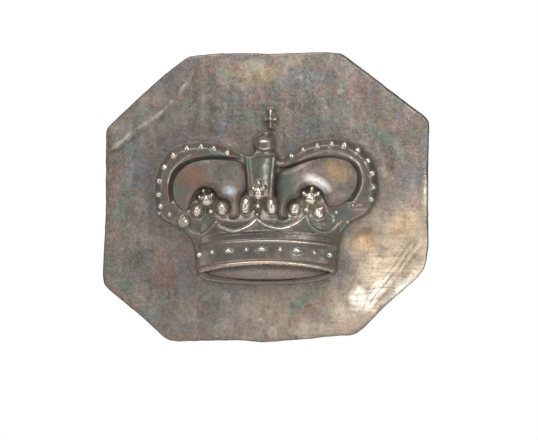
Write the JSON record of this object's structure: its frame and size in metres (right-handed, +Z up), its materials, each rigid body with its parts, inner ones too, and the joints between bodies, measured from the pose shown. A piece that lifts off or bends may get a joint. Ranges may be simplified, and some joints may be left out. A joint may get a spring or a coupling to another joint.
{
  "type": "cap badge",
  "caption": "Cap badge: a die-struck crown with a cap lining on a hand-cut octagonal metal plate, with two wire lugs behind it and a sliding split pin that holds it on a cap.",
  "frame": {"origin": "middle of the back face of the plate, the face that lies on the cap", "axes": "+Z up as worn, -Y out of the front of the badge, +X to the right of somebody who looks at the front"},
  "size_m": [0.05, 0.0122, 0.0444],
  "materials": {
    "plate_bronze": "aged dull copper alloy with grey-brown patina, green and pink mottling, scratches",
    "crown_bronze": "dark bronze patina with bright worn high points",
    "lining_bronze": "dark smooth metal with a bluish sheen",
    "copper": "aged copper wire",
    "braze": "dull brazing alloy",
    "pin_brass": "drawn brass wire, slightly tarnished"
  },
  "bodies": {
    "badge": {"face_plate": "plate_bronze", "crown_cap_lining": "lining_bronze", "crown_frame": "crown_bronze", "crown_peg_left": "copper", "crown_peg_right": "copper", "lug_left": "copper", "lug_right": "copper", "lug_braze_left": "braze", "lug_braze_right": "braze"},
    "cotter": {"cotter_pin": "pin_brass"}
  },
  "joints": [
    {"name": "cotter_slide", "type": "slide", "parent": "badge", "child": "cotter", "axis": [1, 0, 0], "range_m": [0, 0.028]}
  ]
}
